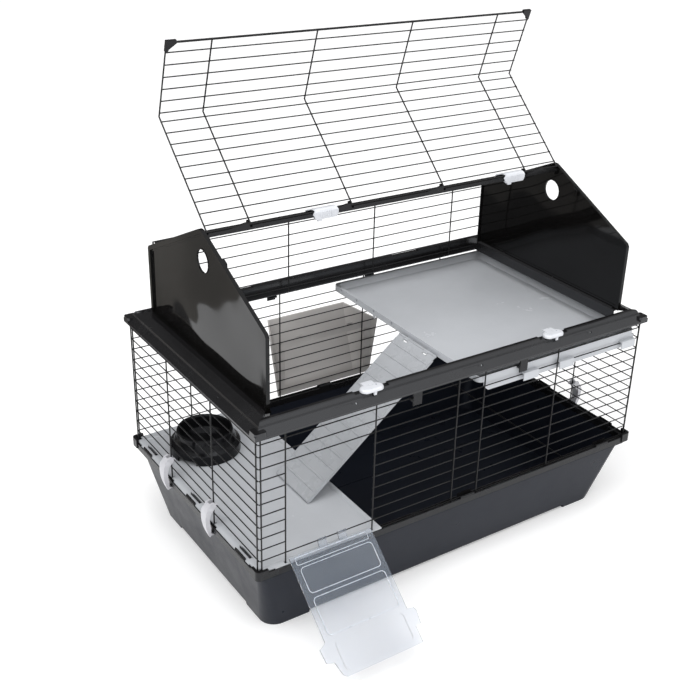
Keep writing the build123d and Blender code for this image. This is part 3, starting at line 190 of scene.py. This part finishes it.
MATS = {
    "coated_wire": coated_wire(),
    "black_plastic": moulded("black_frame_plastic", (0.0055, 0.0053, 0.0057), (0.0095, 0.0092, 0.0097), 0.20, 0.32,
                             scuff=0.14, scuff_col=(0.035, 0.035, 0.037), wave=0.0012, spec=0.32),
    "frame_black": moulded("black_beam_plastic", (0.0065, 0.0062, 0.0067), (0.0110, 0.0106, 0.0112), 0.18, 0.30,
                           scuff=0.16, scuff_col=(0.04, 0.04, 0.042), wave=0.0012, spec=0.60),
    # ramp: a darker copy of the light grey plastic; the lower tone is painted shade for its up-facing slope, which
    # catches the left-front light
    "ramp_grey_painted_shade": moulded("ramp_grey_plastic_painted_shade", (0.39, 0.403, 0.425), (0.44, 0.455, 0.478), 0.22, 0.34,
                         grain=900.0, depth=0.00004, scuff=0.20, scuff_col=(0.50, 0.51, 0.53), wave=0.001, big=6.0),
    "gloss_black": moulded("gloss_black_plastic", (0.0030, 0.0028, 0.0027), (0.0050, 0.0047, 0.0045), 0.03, 0.08,
                           grain=700.0, depth=0.000006, wave=0.016, scuff=0.06, scuff_col=(0.02, 0.02, 0.02),
                           big=3.0, spec=0.25),
    "bowl_black": moulded("gloss_black_bowl", (0.0035, 0.0035, 0.0040), (0.0060, 0.0060, 0.0068), 0.10, 0.18,
                          grain=900.0, depth=0.00001, scuff=0.10, scuff_col=(0.02, 0.02, 0.022), big=12.0, spec=0.18),
    "tray_plastic": moulded("tray_anthracite", (0.0085, 0.0100, 0.0150), (0.0120, 0.0140, 0.0205), 0.26, 0.38,
                            grain=1100.0, depth=0.00006, scuff=0.16, scuff_col=(0.035, 0.037, 0.046), wave=0.003,
                            spec=0.14, tint=(0.80, 0.86, 1.0)),
    "grey_plastic": moulded("light_grey_plastic", (0.47, 0.486, 0.512), (0.53, 0.547, 0.575), 0.16, 0.28,
                            grain=900.0, depth=0.00004, scuff=0.20, scuff_col=(0.60, 0.61, 0.63), wave=0.0015,
                            big=4.0),
    "taupe_plastic": moulded("rack_taupe", (0.44, 0.42, 0.405), (0.52, 0.50, 0.485), 0.34, 0.48,
                             grain=1000.0, depth=0.00006, scuff=0.2, scuff_col=(0.58, 0.57, 0.56), wave=0.001),
    "white_plastic": moulded("latch_white", (0.60, 0.615, 0.65), (0.68, 0.695, 0.73), 0.24, 0.36, grain=1300.0,
                             depth=0.00004, scuff=0.15, scuff_col=(0.50, 0.51, 0.54), big=30.0),
    # side latches: a darker copy of the latch white; the lower tone is painted shade, not a different plastic
    "side_white_painted_shade": moulded("side_latch_white_painted_shade", (0.50, 0.50, 0.53), (0.58, 0.58, 0.61), 0.30, 0.42, grain=1300.0,
                          depth=0.00005, scuff=0.25, scuff_col=(0.40, 0.40, 0.43), big=40.0),
    "clear_plastic": clear_door(),
}

slot_of = {s["node"]: s["material_slot"] for s in frame["record"]["subparts"]}
for node, obj in frame["nodes"].items():
    mat = MATS[slot_of[node]]
    if node == "food_bowl":
        mat = MATS["bowl_black"]
    # the ramp takes the darker grey copy, which carries painted shade
    elif node == "ramp":
        mat = MATS["ramp_grey_painted_shade"]
    elif node.startswith("mid_frame"):
        mat = MATS["frame_black"]
    # side latches take the darker white copy, which carries painted shade
    elif node.startswith("side_latch"):
        mat = MATS["side_white_painted_shade"]
    if obj.material_slots:
        for s in obj.material_slots:
            s.material = mat
    else:
        obj.data.materials.append(mat)

# ---------------------------------------------------------------------------
# frosted crests of the raised beads on the clear door
# ---------------------------------------------------------------------------
bm, bnt, bb = new_mat("bead_frost")
bv = coords(bnt)
bn = noise(bnt, bv, 60.0, 4.0)
bnt.links.new(ramp(bnt, bn, [(0.3, (0.66, 0.73, 0.83)), (0.7, (0.74, 0.80, 0.88))]), bb.inputs["Base Color"])
bnt.links.new(remap(bnt, bn, 0.3, 0.7, 0.22, 0.36), bb.inputs["Roughness"])
bb.inputs["Transmission Weight"].default_value = 0.35

HINGE_Y, HINGE_Z, DROP = -274.5, 200.0, math.radians(129.1)
DD = (-math.sin(DROP), math.cos(DROP))
DN = (-math.cos(DROP), -math.sin(DROP))


def door_point(x, u, n):
    return (x / 1000.0, (HINGE_Y + DD[0] * u + DN[0] * n) / 1000.0, (HINGE_Z + DD[1] * u + DN[1] * n) / 1000.0)


def ring_loop(x0, x1, u0, u1, r, segs=8):
    pts = []
    for cx_, cu_, a0 in ((x1 - r, u1 - r, 0), (x0 + r, u1 - r, 90), (x0 + r, u0 + r, 180), (x1 - r, u0 + r, 270)):
        for k in range(segs + 1):
            a = math.radians(a0 + 90.0 * k / segs)
            pts.append((cx_ + r * math.cos(a), cu_ + r * math.sin(a)))
    return pts


def crest(name, x0, x1, u0, u1, r):
    """A low three-sided ridge along the top of one bead."""
    profile = ((0.25, 3.22), (0.9, 2.95), (1.55, 3.22), (0.9, 3.30))
    loops = [[(x, u, n) for x, u in ring_loop(x0 + d, x1 - d, u0 + d, u1 - d, max(r - d, 0.4))] for d, n in profile]
    verts, faces = [], []
    cnt = len(loops[0])
    for lp in loops:
        verts += [door_point(*p) for p in lp]
    for i in range(4):
        for k in range(cnt):
            a, b_ = i * cnt + k, i * cnt + (k + 1) % cnt
            c, d = ((i + 1) % 4) * cnt + (k + 1) % cnt, ((i + 1) % 4) * cnt + k
            faces.append((a, b_, c, d))
    me = bpy.data.meshes.new(name)
    me.from_pydata(verts, [], faces)
    me.update()
    me.materials.append(bm)
    o = bpy.data.objects.new(name, me)
    bpy.context.scene.collection.objects.link(o)
    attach(o, "door")
    return o


crest("door_bead_strip", -408, -246, 15.5, 32.0, 4)
crest("door_bead_upper", -406, -244, 36.5, 89.0, 9)
crest("door_bead_middle", -406, -244, 96.5, 172.0, 9)

# ---------------------------------------------------------------------------
# studio
# ---------------------------------------------------------------------------
scene = bpy.context.scene
scene.view_settings.view_transform = "Standard"
scene.view_settings.look = "None"

world = bpy.data.worlds.new("studio")
scene.world = world
world.use_nodes = True
wt = world.node_tree
wt.nodes.clear()
wo = wt.nodes.new("ShaderNodeOutputWorld")
bg = wt.nodes.new("ShaderNodeBackground")
bg.inputs["Color"].default_value = (1.0, 1.0, 1.0, 1.0)
# bright above and in front, dark behind: the room behind the object was unlit
wtc = wt.nodes.new("ShaderNodeTexCoord")
wdot = wt.nodes.new("ShaderNodeVectorMath")
wdot.operation = "DOT_PRODUCT"
wdot.inputs[1].default_value = (-0.14, -0.56, 0.82)
wt.links.new(wtc.outputs["Generated"], wdot.inputs[0])
wmap = wt.nodes.new("ShaderNodeMapRange")
wmap.interpolation_type = "SMOOTHSTEP"
wmap.inputs["From Min"].default_value = -0.05
wmap.inputs["From Max"].default_value = 0.95
wmap.inputs["To Min"].default_value = 0.10
wmap.inputs["To Max"].default_value = 1.45
wt.links.new(wdot.outputs["Value"], wmap.inputs["Value"])
wt.links.new(wmap.outputs["Result"], bg.inputs["Strength"])
wt.links.new(bg.outputs["Background"], wo.inputs["Surface"])


def plane(name, corners, material):
    me = bpy.data.meshes.new(name)
    me.from_pydata([tuple(c) for c in corners], [], [tuple(range(len(corners)))])
    me.update()
    me.materials.append(material)
    o = bpy.data.objects.new(name, me)
    scene.collection.objects.link(o)
    return o


fm, fnt, fb = new_mat("floor_pale")
fv = coords(fnt)
fn = noise(fnt, fv, 0.7, 3.0)
fnt.links.new(ramp(fnt, fn, [(0.3, (0.925, 0.925, 0.928)), (0.7, (0.94, 0.94, 0.942))]), fb.inputs["Base Color"])
fb.inputs["Roughness"].default_value = 0.9
fb.inputs["Specular IOR Level"].default_value = 0.1
fb.inputs["Emission Color"].default_value = (1.0, 1.0, 1.0, 1.0)
fb.inputs["Emission Strength"].default_value = 0.20
floor = plane("studio_floor", [(-9, -9, 0), (16, -9, 0), (16, 20, 0), (-9, 20, 0)], fm)


# dark card lying on the floor behind the object, out of the camera's sight and hidden from shadow and diffuse rays: a
# painted reflection of shade that only the glossy gables mirror
dm, dnt, db = new_mat("painted_reflection_dark")
dv = coords(dnt)
dn = noise(dnt, dv, 1.3, 3.0)
dnt.links.new(ramp(dnt, dn, [(0.3, (0.08, 0.08, 0.082)), (0.7, (0.13, 0.13, 0.132))]), db.inputs["Base Color"])
db.inputs["Roughness"].default_value = 0.95
db.inputs["Specular IOR Level"].default_value = 0.1
# lighter warm grey card: the brighter part of the painted reflection on the left gable
cm, cnt, cb = new_mat("painted_reflection_grey")
cv = coords(cnt)
cn = noise(cnt, cv, 1.1, 3.0)
cnt.links.new(ramp(cnt, cn, [(0.3, (0.27, 0.255, 0.235)), (0.7, (0.40, 0.385, 0.36))]), cb.inputs["Base Color"])
cb.inputs["Roughness"].default_value = 0.95
cb.inputs["Specular IOR Level"].default_value = 0.1
card_l = plane("painted_reflection_card_left", [(x, y, 0.004) for x, y in (
    (-8.9, 0.85), (-1.12, 0.85), (-1.086, 0.991), (-1.092, 1.054), (-1.082, 1.095), (-1.064, 1.149), (-1.039, 1.182),
    (-1.008, 1.164), (-0.961, 1.088), (-0.915, 1.057), (-0.86, 1.10), (-0.86, 8.0), (-8.9, 8.0))], cm)
card_r = plane("painted_reflection_card_right", [(-0.86, 0.55, 0.004), (2.2, 0.55, 0.004), (2.2, 8.0, 0.004),
                                   (-0.86, 8.0, 0.004)], dm)
for card in (card_l, card_r):
    card.visible_camera = False
    card.visible_shadow = False
    card.visible_diffuse = False


def area(name, loc, target, size, size_y, power, color=(1, 1, 1)):
    ld = bpy.data.lights.new(name, "AREA")
    ld.shape = "RECTANGLE"
    ld.size = size
    ld.size_y = size_y
    ld.energy = power
    ld.color = color
    o = bpy.data.objects.new(name, ld)
    scene.collection.objects.link(o)
    o.location = loc
    d = Vector(target) - Vector(loc)
    o.rotation_euler = d.to_track_quat("-Z", "Y").to_euler()
    return o


area("key_top", (-0.7, -0.6, 3.3), (0.0, 0.0, 0.3), 2.2, 2.0, 30.0)
area("fill_left", (-2.6, -0.3, 2.4), (-0.7, 0.1, 0.0), 1.6, 1.2, 20.0)

# camera fitted to the photograph
cam_data = bpy.data.cameras.new("photo_camera")
cam_data.sensor_fit = "HORIZONTAL"
cam_data.sensor_width = 36.0
cam_data.lens = 1092.86 / 680.0 * 36.0
cam_data.shift_x = 0.5 - 384.72 / 680.0
cam_data.shift_y = 339.29 / 680.0 - 0.5
cam_data.clip_start = 0.05
cam_data.clip_end = 60.0
cam = bpy.data.objects.new("photo_camera", cam_data)
scene.collection.objects.link(cam)
right = Vector((0.82065, -0.57016, 0.03810)).normalized()
up = Vector((0.22281, 0.38067, 0.89746))
up = (up - right * up.dot(right)).normalized()
back = right.cross(up)
cam.matrix_world = Matrix((
    (right.x, up.x, back.x, -1.2525),
    (right.y, up.y, back.y, -1.7127),
    (right.z, up.z, back.z, 1.4593),
    (0.0, 0.0, 0.0, 1.0),
))
scene.camera = cam
